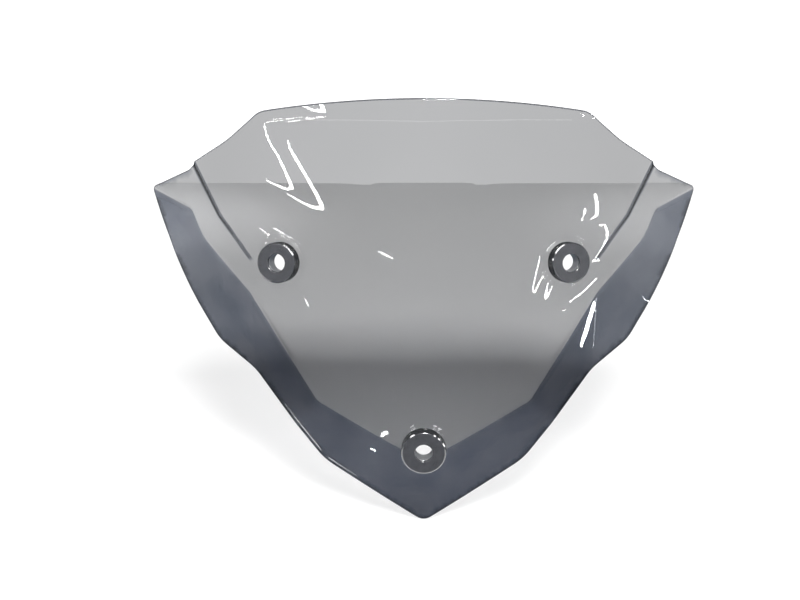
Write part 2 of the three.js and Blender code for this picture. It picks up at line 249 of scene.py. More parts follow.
def flange_height(x, y):
    """The height of the facets over the sheet: below zero outside the fold, where they turn back."""
    side = smooth_min(wing_side.height(x, y), flank_upper.height(x, y), VALLEY_ROUND)
    upper = smooth_max(wing_top.height(x, y), side, VALLEY_ROUND)
    lower = smooth_min(flank_lower.height(x, y), keel.height(np.hypot(x, KEEL_ROUND), y), VALLEY_ROUND)
    across = unit(NOTCH - FOLD[3])
    outside = across[0] * (y - FOLD[3][1]) - across[1] * (x - FOLD[3][0])
    return lower + smooth_ramp(outside / (2 * VALLEY_ROUND) + 0.5) * (upper - lower)


def painted_shade(x, y):
    """1 on the flange, which is given painted shade to look darker, and 0 on the rest."""
    return np.clip(-flange_height(np.abs(x), y) / SHADE_WIDTH, 0, 1)


def fraction_along(start, end, x, y):
    """0 at the start of a line and 1 at its end."""
    line = end - start
    return ((x - start[0]) * line[0] + (y - start[1]) * line[1]) / line.dot(line)


def right_of(start, end, x, y):
    """The distance to the right of a line."""
    line = end - start
    return (line[1] * (x - start[0]) - line[0] * (y - start[1])) / np.hypot(*line)


def step_fraction(x, y):
    """0 at the lower end of the step and 1 at the edge of the screen."""
    return fraction_along(STEP_END, STEP_TOP, x, y)


def wing_height(x, y):
    """The height of the wing over the main panel: ever further below zero up along the step."""
    f = np.clip(step_fraction(x, y), 0, None)
    return -STEP_HEIGHT * (1 + STEP_EASE) * f * f / (STEP_EASE + f)


def step_side(x, y):
    """How far along the lower stretch of the step a point is, and how far outside it over the taper."""
    outside = np.maximum(right_of(STEP_END, STEP_BEND, x, y), right_of(STEP_BEND, STEP_TOP, x, y))
    taper = STEP_TAPER + (1 - STEP_TAPER) * np.clip(step_fraction(x, y), 0, 1)
    return fraction_along(STEP_END, STEP_BEND, x, y), outside / taper


def wing_share(x, y, rear=False):
    """0 on the main panel and 1 on the wing. The front wall falls from a crisp edge to a fillet."""
    on_lower, side = step_side(x, y)
    # along the lower stretch the wall narrows to nothing
    side = side / np.clip(on_lower, 1e-3, 1)
    if rear:
        fall = smooth_ramp((side - REAR_STEP_OFFSET) / REAR_STEP_WIDTH)
    else:
        t = np.clip(side / STEP_WIDTH, 0, 1)
        softness = STEP_EDGE_SOFTNESS
        fall = 1 - (1 - t * t / (t + softness) * (1 + softness)) ** 3
    return np.where(on_lower > 0, fall, 0)


def step_painted_shade(x, y):
    """The wall of the step is seen nearly edge on, so it looks dark; that dark band is painted in as
    painted shade.
    """
    on_lower, side = step_side(x, y)
    inner = smooth_ramp((side + BAND_INSIDE) / BAND_INSIDE_FADE)
    outer = smooth_ramp((BAND_OUTSIDE - side) / BAND_OUTSIDE_FADE)
    return BAND_SHADE * inner * outer * smooth_ramp(on_lower / BAND_END_FADE)


def sheet_height(x, y, share, rear=False):
    """The whole sheet. Its rear crease is softer than the front one and a little outside it."""
    if rear:
        flange = smooth_min(0 * x, flange_height(x, y) + REAR_FOLD_SHIFT, REAR_FOLD_ROUND)
    else:
        flange = smooth_min(0 * x, flange_height(x, y), FOLD_ROUND)
    return dome(x, y) + lip_rise(x, y) + flange + share * wing_height(x, y)


class Fixing:
    """A fixing point on the sheet, with the flat pad round it and the axis of its bore."""

    def __init__(self, x, y, pad):
        self.x, self.y, self.z = x, y, dome(x, y)
        self.slope = (-x / SIDE_RADIUS, -(y - CROWN_Y) / LENGTH_RADIUS)
        self.axis = unit(np.array((-self.slope[0], -self.slope[1], 1)))
        self.across = unit(np.array((1, 0, self.slope[0])))
        self.up = np.cross(self.axis, self.across)
        self.pad = pad

    def plane(self, x, y):
        return self.z + self.slope[0] * (x - self.x) + self.slope[1] * (y - self.y)

    def distance(self, x, y):
        return np.sqrt((x - self.x) ** 2 + (y - self.y) ** 2 + (self.plane(x, y) - self.z) ** 2)

    def share(self, x, y, radius, edge):
        return smooth_ramp((radius + edge - self.distance(x, y)) / edge)

    def place(self, mirror, radius, angle, height):
        """The point at a radius, angle and height above the pad, on either side of the screen."""
        p = np.array((self.x, self.y, self.z)) + self.axis * height
        p = p + radius * (math.cos(angle) * self.across + math.sin(angle) * self.up)
        return p * (mirror, 1, 1)

    def ring(self, radius, count=ROUND_SIDES):
        turns = [2 * math.pi * i / count for i in range(count)]
        return [self.place(1, radius, a, 0)[:2] for a in turns]


upper_fixing = Fixing(77.1, 20.6, UPPER_PAD)
lower_fixing = Fixing(0, -81, LOWER_PAD)
FIXINGS = {"left": (upper_fixing, -1), "right": (upper_fixing, 1), "lower": (lower_fixing, 1)}
MIDDLE = sum(f.place(mirror, 0, 0, 0) for f, mirror in FIXINGS.values()) / len(FIXINGS)


def front_points(x, y):
    """The front face, flat on the pads."""
    ax = np.abs(x)
    z = sheet_height(ax, y, wing_share(ax, y))
    for f in (upper_fixing, lower_fixing):
        z = z + f.share(ax, y, *f.pad) * (f.plane(ax, y) - z)
    return np.stack((x, y, z), axis=-1)


def unit_rows(v):
    """Each row of a table as a direction of length 1."""
    return v / np.linalg.norm(v, axis=-1)[..., None]


def normals_of(height, x, y):
    """The normals of a height function that is given for the right half only."""
    h = 0.5
    dx = height(x + h, y) - height(np.abs(x - h), y)
    dy = height(x, y + h) - height(x, y - h)
    return unit_rows(np.stack((-dx, -dy, 2 * h + 0 * dx), axis=-1))


def wall_directions(x, y):
    """The outward line along which the wall is measured: the way a ray from in front runs in it.

    Measured so, each crease of the rear face lies right behind its crease in the front face.
    """
    n = normals_of(lambda x, y: sheet_height(x, y, 1, rear=True), x, y)
    ray = unit_rows(np.stack((x, y, 0 * x - VIEW_DISTANCE), axis=-1))
    facing = -np.sum(ray * n, axis=-1)[..., None]
    steepness = np.sqrt(1 - (1 - facing * facing) / PLASTIC_IOR ** 2)
    ray = (ray + facing * n) / PLASTIC_IOR - steepness * n
    return -ray / steepness


def rear_points(x, y):
    """The rear face, at one wall's distance behind its own heights."""
    ax = np.abs(x)
    z = sheet_height(ax, y, wing_share(ax, y, rear=True), rear=True)
    normal = wall_directions(ax, y)
    for f in (upper_fixing, lower_fixing):
        share = f.share(ax, y, *REAR_PAD)
        z = z + share * (f.plane(ax, y) - z)
        normal = normal + share[..., None] * (f.axis - normal)
    normal = WALL * normal
    return np.stack((x - np.sign(x) * normal[..., 0], y - normal[..., 1], z - normal[..., 2]), axis=-1)


def surface_normals(points_at, x, y):
    """The normals of a surface that is given by its points, measured closely enough for creases."""
    h = 0.04
    dx = points_at(x + h, y) - points_at(x - h, y)
    dy = points_at(x, y + h) - points_at(x, y - h)
    return unit_rows(np.cross(dx, dy))


# ---------- the plan of the sheet, filled with triangles ----------
def eased(before, corner, after, length):
    """A corner of the outline as a short curve that starts and ends on its two sides."""
    start = corner + length * unit(before - corner)
    end = corner + length * unit(after - corner)
    count = max(3, round(2 * length / EDGE_STEP))
    for i in range(count + 1):
        t = i / count
        yield (1 - t) ** 2 * start + 2 * t * (1 - t) * corner + t * t * end


def spread(points, step):
    """The same line with points at even distances of about step along each stretch."""
    out = [points[0]]
    for a, b in zip(points, points[1:]):
        count = max(1, math.ceil(np.linalg.norm(b - a) / step))
        out += [a + (b - a) * i / count for i in range(1, count + 1)]
    return out


def half_outline():
    """The right half of the outline, from the top middle down to the tip."""
    line = []
    for i in range(ARCH_STEPS):
        f = i / ARCH_STEPS
        y = TOP_MIDDLE_Y - (TOP_MIDDLE_Y - TOP_CORNER[1]) * f * f
        line.append(np.array((TOP_CORNER[0] * f, y)))
    corners = [np.array(corner, float) for corner, _ in CORNERS]
    lengths = [length for _, length in CORNERS]
    line = [p for p in line if np.linalg.norm(p - corners[0]) > lengths[0] + EDGE_STEP]
    places = [line[-1], *corners, corners[-2] * (-1, 1)]
    for i, length in enumerate(lengths):
        line += eased(*places[i:i + 3], length)
    line = [p for p in line if p[0] > -MIDDLE_SLACK]
    line[-1][0] = 0
    return spread(line, EDGE_STEP)


def inset_outline():
    """The whole outline, drawn in by the radius of its rounded rim, and its outward directions."""
    right = half_outline()
    loop = right + [p * (-1, 1) for p in reversed(right[1:-1])]
    points = np.array(loop)
    keep = np.linalg.norm(points - np.roll(points, 1, axis=0), axis=1) > SHORTEST_EDGE
    points = points[keep]
    along = np.roll(points, -1, axis=0) - np.roll(points, 1, axis=0)
    along /= np.linalg.norm(along, axis=1)[:, None]
    outward = np.stack((-along[:, 1], along[:, 0]), axis=-1)
    return points - RIM_RADIUS * outward, outward


def crease_lines():
    """Every line on the right half where the sheet bends."""
    fold = spread(list(FOLD[:5]), CREASE_STEP)
    ratio = keel.outward[0] / keel.outward[1]
    for x in np.arange(FOLD[4][0], 0, -CREASE_STEP):
        fold.append(np.array((x, FOLD[4][1] - ratio * (math.hypot(x, KEEL_ROUND) - FOLD[4][0]))))
    yield fold
    for a, b, corner in ((wing_top, wing_side, 1), (wing_side, flank_upper, 2),
                         (flank_upper, flank_lower, 3), (flank_lower, keel, 4)):
        difference = a.outward * a.slope - b.outward * b.slope
        direction = unit(np.array((-difference[1], difference[0])))
        if direction.dot(a.outward + b.outward) < 0:
            direction = -direction
        yield spread([FOLD[corner], FOLD[corner] + VALLEY_REACH * direction], CREASE_STEP)
    yield spread([np.array((x, lip_line(x))) for x in (0, LIP_REACH)], 2 * CREASE_STEP)


def crease_points():
    """Rows of points along both sides of every crease."""
    for line in crease_lines():
        line = np.array(line)
        along = np.gradient(line, axis=0)
        along /= np.linalg.norm(along, axis=1)[:, None]
        outward = np.stack((-along[:, 1], along[:, 0]), axis=-1)
        for offset in sorted(CREASE_ROWS, key=abs):
            yield from line + offset * outward


def rows_across(start, width, count):
    """Even rows across a width, with one more past each end."""
    return {start + width * i / count for i in range(-1, count + 2)}


def step_points():
    """Rows of points along the step, closer where its front and rear walls fall."""
    upper = unit(STEP_TOP - STEP_BEND)
    lower = unit(STEP_BEND - STEP_END)
    to_wing = unit(upper + lower)
    to_wing = np.array((to_wing[1], -to_wing[0]))
    rear_rows = rows_across(REAR_STEP_OFFSET, REAR_STEP_WIDTH, 6)
    for offset in sorted(rear_rows.union(STEP_ROWS)):
        corner = STEP_BEND + to_wing * offset
        for start in (STEP_END, STEP_END + to_wing * offset):
            yield from spread([start, corner, corner + STEP_REACH * upper], CREASE_STEP)


def ring_points():
    """Rings of points round the fixings, closer where the pads join the sheet."""
    for f in (upper_fixing, lower_fixing):
        pad_rows = rows_across(*REAR_PAD, 5) | rows_across(*f.pad, 5)
        for radius in sorted(pad_rows.union(RING_ROWS)):
            yield from f.ring(radius)


def grid_points():
    """An even triangular grid over the right half."""
    rise = GRID_STEP * math.sqrt(3) / 2
    for row in range(round(PLAN_HEIGHT / rise)):
        y = KEEL_TIP[1] + row * rise
        for column in range(round(PLAN_HALF_WIDTH / GRID_STEP)):
            yield np.array(((column + 0.5 * (row % 2)) * GRID_STEP, y))


def inside(loop, points):
    """Which points lie inside a closed loop."""
    x, y = points[:, 0], points[:, 1]
    result = np.zeros(len(points), bool)
    for (ax, ay), (bx, by) in zip(loop, np.roll(loop, -1, axis=0)):
        if ay == by:
            continue
        crosses = (ay > y) != (by > y)
        result ^= crosses & (x < (bx - ax) * (y - ay) / (by - ay) + ax)
    return result


class Thinned:
    """Collects points that keep their distance from those already there.

    Its square cells are as wide as the largest gap, so a near point lies in one of nine cells.
    """

    def __init__(self):
        self.cell = GRID_GAP
        self.cells = {}
        self.points = []

    def near(self, p, distance):
        cx, cy = math.floor(p[0] / self.cell), math.floor(p[1] / self.cell)
        for i in range(cx - 1, cx + 2):
            for j in range(cy - 1, cy + 2):
                for q in self.cells.get((i, j), ()):
                    if (p[0] - q[0]) ** 2 + (p[1] - q[1]) ** 2 < distance * distance:
                        return True
        return False

    def add(self, p):
        key = (math.floor(p[0] / self.cell), math.floor(p[1] / self.cell))
        self.cells.setdefault(key, []).append(p)
        self.points.append(p)


def plan_points(loops):
    """The points of the loops, and then all others that keep their distance."""
    thinned = Thinned()
    for p in np.concatenate(loops):
        thinned.add(p)
    for source, gap in ((step_points(), STEP_GAP), (ring_points(), RING_GAP),
                        (crease_points(), CREASE_GAP), (grid_points(), GRID_GAP)):
        candidates = np.array(list(source))
        candidates = candidates[candidates[:, 0] > -MIDDLE_SLACK]
        candidates[candidates[:, 0] < MIDDLE_SNAP, 0] = 0
        candidates = candidates[inside(loops[0], candidates)]
        for p in candidates:
            if thinned.near(p, gap):
                continue
            thinned.add(p)
            if p[0] > 0:
                thinned.add(p * (-1, 1))
    return thinned.points


def plan():
    """Points, triangles, the outline's loop with its outward directions, and the bores' loops."""
    outline, outward = inset_outline()
    holes = [np.array(f.ring(SEAT_RADIUS + SEAT_EDGE)) * (mirror, 1) for f, mirror in FIXINGS.values()]
    loops = [outline, *holes]
    starts = np.cumsum([0, *map(len, loops)])
    numbers = [list(range(a, b)) for a, b in zip(starts, starts[1:])]
    edges = [edge for loop in numbers for edge in zip(loop, loop[1:] + loop[:1])]
    given = [Vector(p) for p in plan_points(loops)]
    vertices, _, cells, origins, _, _ = delaunay_2d_cdt(given, edges, [], 0, CLOSEST)
    points = np.array([tuple(v) for v in vertices])
    place = {old: new for new, merged in enumerate(origins) for old in merged}
    triangles = np.array([cell for cell in cells if len(cell) == 3])
    a, b, c = (points[triangles[:, k]] for k in range(3))
    area = (b[:, 0] - a[:, 0]) * (c[:, 1] - a[:, 1]) - (b[:, 1] - a[:, 1]) * (c[:, 0] - a[:, 0])
    triangles[area < 0] = triangles[area < 0][:, ::-1]
    centre = (a + b + c) / 3
    kept = inside(outline, centre)
    for hole in holes:
        kept &= ~inside(hole, centre)
    rim, *bores = [[place[i] for i in loop] for loop in numbers]
    return points, triangles[kept], rim, outward, bores


# ---------- meshes ----------
def to_world(points):
    """From the screen's own plan in mm to the frame in metres, leaned back by the rake."""
    return turned_up((np.asarray(points) - MIDDLE) * MM)


def turned_up(v):
    """Directions: up the screen leans back by the rake, and out of its front is forward and up."""
    cos, sin = math.cos(RAKE), math.sin(RAKE)
    x, y, z = v[..., 0], v[..., 1], v[..., 2]
    return np.stack((x, sin * y - cos * z, cos * y + sin * z), -1)


def mesh_piece(name, points, normals, faces, material, node):
    """A smooth piece in the frame, standing for a CAD node."""
    mesh = bpy.data.meshes.new(name)
    mesh.from_pydata([tuple(p) for p in to_world(points)], [], [tuple(f) for f in faces])
    mesh.shade_smooth()
    mesh.normals_split_custom_set_from_vertices([tuple(n) for n in turned_up(np.asarray(normals))])
    mesh.materials.append(material)
    piece = bpy.data.objects.new(name, mesh)
    bpy.context.scene.collection.objects.link(piece)
    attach(piece, "root")
    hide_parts(node)
    return piece


def give_values(piece, name, values):
    """Store one value for each point, which a material reads by its name."""
    attribute = piece.data.attributes.new(name, "FLOAT", "POINT")
    attribute.data.foreach_set("value", np.array(values, dtype=np.float32))


class Skin:
    """The points, normals, painted shade depths and faces of the sheet while it is built."""

    def __init__(self, points, normals, shade_depth, faces):
        self.points = points
        self.normals = normals
        self.shade_depth = shade_depth
        self.faces = faces

    def add_ring(self, places, directions, shade_depths):
        start = len(self.points)
        self.points.extend(places)
        self.normals.extend(directions)
        self.shade_depth.extend(shade_depths)
        return list(range(start, start + len(places)))

    def strip(self, ring_a, ring_b):
        for i in range(len(ring_a)):
            j = (i + 1) % len(ring_a)
            self.faces.append((ring_a[i], ring_a[j], ring_b[j], ring_b[i]))

    def edge(self, ring, outward):
        """Along the edge of one face: the points, the normals and the directions out of the face."""
        p = np.array([self.points[i] for i in ring])
        n = np.array([self.normals[i] for i in ring])
        along = np.roll(p, -1, axis=0) - np.roll(p, 1, axis=0)
        out = np.cross(along, n)
        flip = np.sign(np.sum(out[:, :2] * outward, axis=1))
        out *= flip[:, None]
        return p, n, out / np.linalg.norm(out, axis=1)[:, None]


def add_rim(skin, front, rear, outward):
    """The rounded rim from the front face round to the rear one."""
    # the rim gets extra painted shade, which darkens it
    shade_depths = [skin.shade_depth[i] + RIM_SHADE for i in front]
    rings = [front]
    steps = list(range(1, RIM_STEPS + 1))
    for ring, order in ((front, steps), (rear, reversed(steps))):
        p, n, out = skin.edge(ring, outward)
        for i in order:
            a = math.pi / 2 * i / RIM_STEPS
            turned = n * math.cos(a) + out * math.sin(a)
            rings.append(skin.add_ring(p + RIM_RADIUS * (turned - n), turned, shade_depths))
    rings.append(rear)
    for ring_a, ring_b in zip(rings, rings[1:]):
        skin.strip(ring_a, ring_b)


def add_bore(skin, fixing, mirror, front, rear):
    """The wall of one bore through the sheet."""
    turns = [2 * math.pi * i / len(front) for i in range(len(front))]
    centre = fixing.place(mirror, 0, 0, 0)
    rings = [front]
    for height in (-SEAT_EDGE, SEAT_EDGE - WALL):
        places = [fixing.place(mirror, SEAT_RADIUS, a, height) for a in turns]
        inward = [unit(centre - fixing.place(mirror, SEAT_RADIUS, a, 0)) for a in turns]
        rings.append(skin.add_ring(places, inward, [0] * len(turns)))
    rings.append(rear)
    for ring_a, ring_b in zip(rings, rings[1:]):
        if mirror > 0:
            skin.strip(ring_b, ring_a)
        else:
            skin.strip(ring_a, ring_b)


def sheet_piece(material):
    """The moulded sheet: a front and a rear face over one plan, joined by a rounded rim."""
    flat, triangles, loop, outward, bores = plan()
    x, y = flat[:, 0], flat[:, 1]
    count = len(flat)
    # painted shade: on the flange, along the step and at the lower rim
    rear_shade_depth = painted_shade(x, y)
    front_shade_depth = rear_shade_depth + step_painted_shade(np.abs(x), y)
    low_rim = [i for i in loop if y[i] < DARK_RIM_TOP]
    front_shade_depth[low_rim] += RIM_FACE_SHADE
    skin = Skin(
        points=[*front_points(x, y), *rear_points(x, y)],
        normals=[*surface_normals(front_points, x, y), *-surface_normals(rear_points, x, y)],
        shade_depth=[*front_shade_depth, *rear_shade_depth],
        faces=[*triangles, *(triangles[:, ::-1] + count)],
    )
    add_rim(skin, loop, [i + count for i in loop], outward)
    for (fixing, mirror), front in zip(FIXINGS.values(), bores):
        add_bore(skin, fixing, mirror, front, [i + count for i in front])

    piece = mesh_piece("moulded_sheet", skin.points, skin.normals, skin.faces, material,
                       "screen_panel")
    give_values(piece, "painted_shade", skin.shade_depth)


def filleted(corners, steps=5):
    """A closed section of (radius, height, fillet) corners, listed anticlockwise, with its normals."""
    out = []
    p = np.array([(r, h) for r, h, _ in corners], float)
    for i, (_, _, fillet) in enumerate(corners):
        d1 = unit(p[i] - p[i - 1])
        d2 = unit(p[(i + 1) % len(p)] - p[i])
        n1 = np.array((d1[1], -d1[0]))
        n2 = np.array((d2[1], -d2[0]))
        turn = math.atan2(d1[0] * d2[1] - d1[1] * d2[0], d1.dot(d2))
        side = math.copysign(1, turn)
        centre = p[i] - d1 * fillet * abs(math.tan(turn / 2)) - n1 * fillet * side
        for k in range(steps + 1):
            t = k / steps
            n = (math.sin((1 - t) * turn) * n1 + math.sin(t * turn) * n2) / math.sin(turn)
            out.append((centre + n * fillet * side, n))
    return out


def turned_piece(name, where, corners, material, node):
    """A round piece turned about the bore of one fixing, with a value that is 1 where it faces outwards,
    where the boss material paints shade.
    """
    f, mirror = FIXINGS[where]
    section = filleted(corners)
    points, normals, faces = [], [], []
    painted_dark_side = [max(0, out) ** 2 for _, (out, _) in section] * ROUND_SIDES
    for j in range(ROUND_SIDES):
        a = 2 * math.pi * j / ROUND_SIDES
        radial = math.cos(a) * f.across + math.sin(a) * f.up
        for (radius, height), (out, up) in section:
            points.append(f.place(mirror, radius, a, height))
            normals.append((out * radial + up * f.axis) * (mirror, 1, 1))
    count = len(section)
    for j in range(ROUND_SIDES):
        for i in range(count):
            a = j * count + i
            b = j * count + (i + 1) % count
            c = (j + 1) % ROUND_SIDES * count + (i + 1) % count
            d = (j + 1) % ROUND_SIDES * count + i
            faces.append((a, b, c, d) if mirror < 0 else (d, c, b, a))
    piece = mesh_piece(name, points, normals, faces, material, node)
    give_values(piece, "painted_dark_side", painted_dark_side)


# ---------- materials ----------
class Tree:
    """The nodes of a material or world, with short calls for them."""

    def __init__(self, owner):
        owner.use_nodes = True
        self.tree = owner.node_tree
        self.tree.nodes.clear()

    def add(self, kind, **settings):
        node = self.tree.nodes.new(kind)
        for key, value in settings.items():
            if hasattr(node, key):
                setattr(node, key, value)
            else:
                node.inputs[key.replace("_", " ")].default_value = value
        return node

    def join(self, a, b):
        self.tree.links.new(a, b)

    def feed(self, socket, value):
        """Set a socket to a number or a colour, or join the output of a node to it."""
        if isinstance(value, (int, float)):
            socket.default_value = value
        elif isinstance(value, tuple):
            socket.default_value = (*value, 1)
        else:
            self.join(value, socket)

    def spread(self, value, low, high, from_low=0.3, from_high=0.7, **settings):
        node = self.add("ShaderNodeMapRange", From_Min=from_low, From_Max=from_high,
                        To_Min=low, To_Max=high, **settings)
        self.join(value, node.inputs["Value"])
        return node.outputs["Result"]

    def mix(self, factor, a, b):
        node = self.add("ShaderNodeMix", data_type="RGBA")
        self.join(factor, node.inputs["Factor"])
        self.feed(node.inputs[6], a)
        self.feed(node.inputs[7], b)
        return node.outputs[2]

    def choose(self, factor, a, b):
        """Shader a where the factor is 0, and shader b where it is 1."""
        node = self.add("ShaderNodeMixShader")
        self.join(factor, node.inputs["Fac"])
        self.join(a, node.inputs[1])
        self.join(b, node.inputs[2])
        return node.outputs["Shader"]

    def light_path(self, which):
        return self.add("ShaderNodeLightPath").outputs[which]


class Nodes(Tree):
    """A material round one principled shader."""

    def __init__(self, name):
        self.material = bpy.data.materials.new(name)
        super().__init__(self.material)
        self.output = self.add("ShaderNodeOutputMaterial")
        self.shader = self.add("ShaderNodeBsdfPrincipled")
        self.join(self.shader.outputs["BSDF"], self.output.inputs["Surface"])
        self.place = self.add("ShaderNodeTexCoord").outputs["Object"]

    def noise(self, scale, detail=3.0, roughness=0.5):
        node = self.add("ShaderNodeTexNoise", Scale=scale, Detail=detail, Roughness=roughness)
        self.join(self.place, node.inputs["Vector"])
        return node.outputs["Fac"]

    def bump(self, height, strength, distance):
        node = self.add("ShaderNodeBump", Strength=strength, Distance=distance)
        self.join(height, node.inputs["Height"])
        self.join(node.outputs["Normal"], self.shader.inputs["Normal"])

    def set(self, **values):
        for key, value in values.items():
            self.feed(self.shader.inputs[key.replace("_", " ")], value)


def smoked_screen():
    """Clear smoked polycarbonate, with its smoky colour in its thickness. Painted shade darkens the
    flange, and near-black painted shade marks the rim and the step's band.
    """
    m = Nodes("smoked_screen")
    shade_depth = m.add("ShaderNodeAttribute", attribute_name="painted_shade").outputs["Fac"]
    flow = m.noise(9, 2)
    clear = m.mix(m.spread(flow, 0, 1), (0.97, 0.975, 0.98), (0.93, 0.94, 0.945))
    shade_mottle = m.noise(26, 4, 0.55)
    # painted shade: the darker colour of the flange, varied at random
    deep = m.mix(m.spread(shade_mottle, 0, 1), (0.24, 0.265, 0.325), (0.385, 0.41, 0.47))
    dust = m.noise(900, 2, 0.7)
    m.set(
        # painted shade up to 1 darkens the sheet towards the flange colour; above 1 it darkens it towards
        # near black, for the rim and the step's band
        Base_Color=m.mix(m.spread(shade_depth, 0, 1, 1, 2), m.mix(shade_depth, clear, deep), (0.03, 0.033, 0.04)),
        Roughness=m.spread(dust, 0.012, 0.05, 0.55, 0.8),
        IOR=PLASTIC_IOR,
        Transmission_Weight=1.0,
    )
    m.bump(m.noise(16, 1), 0.04, 0.001)
    absorb = m.add("ShaderNodeVolumeAbsorption", Color=(0.10, 0.10, 0.11, 1), Density=345.0)
    m.join(absorb.outputs["Volume"], m.output.inputs["Volume"])
    clear_to_lamps = m.add("ShaderNodeBsdfTransparent", Color=(0.62, 0.62, 0.63, 1)).outputs["BSDF"]
    surface = m.choose(m.light_path("Is Shadow Ray"), m.shader.outputs["BSDF"], clear_to_lamps)
    m.join(surface, m.output.inputs["Surface"])
    return m.material


def smoked_boss():
    """The same plastic in thick rings: nearly opaque, with a deep gloss. Its outward side walls are
    painted near black as painted shade, with less coat.
    """
    m = Nodes("smoked_boss")
    cloud = m.noise(220, 4, 0.6)
    grain = m.noise(2600, 2)
    face = m.mix(m.spread(cloud, 0, 1), (0.030, 0.031, 0.034), (0.042, 0.043, 0.048))
    side = m.add("ShaderNodeAttribute", attribute_name="painted_dark_side").outputs["Fac"]
    m.set(
        # painted shade: the outward side walls are coloured near black
        Base_Color=m.mix(side, face, (0.010, 0.0105, 0.012)),
        Roughness=m.spread(grain, 0.16, 0.26),
        Coat_Weight=m.spread(side, 1, 0.1, 0.5, 1),
        Coat_Roughness=0.03,
        Coat_IOR=PLASTIC_IOR,
        IOR=1.5,
    )
    m.bump(grain, 0.05, 0.0001)
    return m.material


def sleeve_steel():
    """Zinc plated steel with the fine rings that turning leaves."""
    m = Nodes("sleeve_steel")
    stain = m.noise(320, 4, 0.6)
    turning = m.noise(4200, 2)
    m.set(
        Base_Color=m.mix(m.spread(stain, 0, 1), (0.60, 0.61, 0.62), (0.72, 0.72, 0.71)),
        Metallic=1.0,
        Roughness=m.spread(turning, 0.38, 0.58),
    )
    m.bump(turning, 0.15, 0.0001)
    return m.material


def damper_rubber():
    """Matt black rubber with a fine moulded grain and a grey bloom."""
    m = Nodes("damper_rubber")
    bloom = m.noise(180, 5, 0.65)
    grain = m.noise(3200, 3, 0.6)
    m.set(
        Base_Color=m.mix(m.spread(bloom, 0, 1), (0.012, 0.012, 0.013), (0.030, 0.030, 0.031)),
        Roughness=m.spread(bloom, 0.66, 0.86),
        Specular_IOR_Level=0.35,
    )
    m.bump(grain, 0.35, 0.0002)
    return m.material


# ---------- the fixing hardware ----------
# Each section is a list of corners: radius, height over the pad, and fillet.
def boss_section(radius):
    seat_top = BOSS_HEIGHT - BOSS_LIP
    return [
        (SEAT_RADIUS, TOUCH_GAP, SEAT_FILLET),
        (radius, TOUCH_GAP, SMALL_FILLET),
        (radius, BOSS_HEIGHT, BOSS_FILLET),
        (BORE_RADIUS, BOSS_HEIGHT, BORE_FILLET),
        (BORE_RADIUS, seat_top, SMALL_FILLET),
        (SEAT_RADIUS, seat_top, SEAT_FILLET),
    ]


def sleeve_section():
    outer = BORE_RADIUS + SLEEVE_WALL
    top = BOSS_HEIGHT - BOSS_LIP - TOUCH_GAP
    return [
        (BORE_RADIUS, -WALL, SMALL_FILLET),
        (outer, -WALL, SMALL_FILLET),
        (outer, top, SMALL_FILLET),
        (BORE_RADIUS, top, SMALL_FILLET),
    ]


def damper_section():
    top = -WALL - TOUCH_GAP
    base = top - CAD_GAP - DAMPER_THICKNESS
    return [
        (DAMPER_HOLE_RADIUS, base, DAMPER_FILLETS[0]),
        (DAMPER_RADIUS, base, DAMPER_FILLETS[1]),
        (DAMPER_RADIUS, top, SMALL_FILLET),
        (DAMPER_HOLE_RADIUS, top, SMALL_FILLET),
    ]


def fixing_pieces():
    boss, steel, rubber = smoked_boss(), sleeve_steel(), damper_rubber()
    for where in FIXINGS:
        turned_piece(f"boss_{where}", where, boss_section(BOSS_RADII[where]), boss,
                     f"mount_boss_{where}")
        turned_piece(f"steel_sleeve_{where}", where, sleeve_section(), steel,
                     f"sleeve_{where}")
        turned_piece(f"rubber_damper_{where}", where, damper_section(), rubber,
                     f"damper_{where}")


# ---------- the studio ----------
FLOOR_FRONT = -3.0
FLOOR_BACK = 0.715
FLOOR_HALF = 3.0
# to the camera the floor is partly lit by the lamps and, by this share, evenly bright
FLOOR_WASH = 0.68
FLOOR_GLOW = 1.08
# how bright the world is behind the screen, and as the light that falls on it from all sides
BACKDROP = 1.45
FILL = 0.10
FILL_COLOUR = (0.95, 0.97, 1)
# what the gloss of the screen shows of the room, and the bands over which its parts meet: low and
# high by how far up a direction points, and the side walls by how far sideways it does
ROOM_LOW = (0.34, 0.38, 0.48)
ROOM_FRONT = (0.04, 0.05, 0.07)
ROOM_HIGH = (0.16, 0.165, 0.18)
ROOM_SIDE = (0.85, 0.87, 0.90)
LOW_BAND = (-0.95, -0.6)
HIGH_BAND = (-0.4, 0.7)
SIDE_BAND = (0.82, 0.97)
# what gloss inside the sheet shows, towards the front and towards the back, and the band between
THROUGH_FRONT = (0.22, 0.22, 0.23)
THROUGH_BACK = (0.35, 0.35, 0.36)
THROUGH_BAND = (-0.1, 0.4)

CAMERA_PLACE = (0, -0.8592, 0.3269)
CAMERA_LENS = 76.4
CAMERA_SHIFT = -0.0296

# the lamp in front and above, which lights the whole scene
KEY_PLACE = Vector((0.3, -2.9, 2.75))
KEY_TARGET = Vector((0, 0.1, -0.1))
KEY_SIZE = 0.75
KEY_POWER = 322
# the spots over the floor behind the wings: which side, and the power
FLOOR_LIGHTS = [(-1, 15), (1, 10)]
FLOOR_LIGHT_PLACE = (0.235, 0.6, 0.62)
FLOOR_LIGHT_ANGLE = math.radians(22)
FLOOR_LIGHT_RADIUS = 0.05

# how far from the screen the lamps are that show only as reflections, in metres, and their glow
LAMP_DISTANCE = 2.0
NEAR_LAMP_DISTANCE = 0.0015
RIM_LAMP_DISTANCE = 0.0005
STRIP_GLOW = 40
BRIGHT_GLOW = 12
SOFT_GLOW = 2.1
# the length of the pieces of a lamp along a streak, in mm, and round a boss, in degrees
STREAK_STEP = 1.5
EDGE_LIGHT_STEP = 4
# the part of the lip's crease that catches a lamp: half its length, and half the line's width
LIP_LIGHT_REACH = 80
LIP_LIGHT_HALF = 0.2
LIP_LIGHT_STEPS = 60

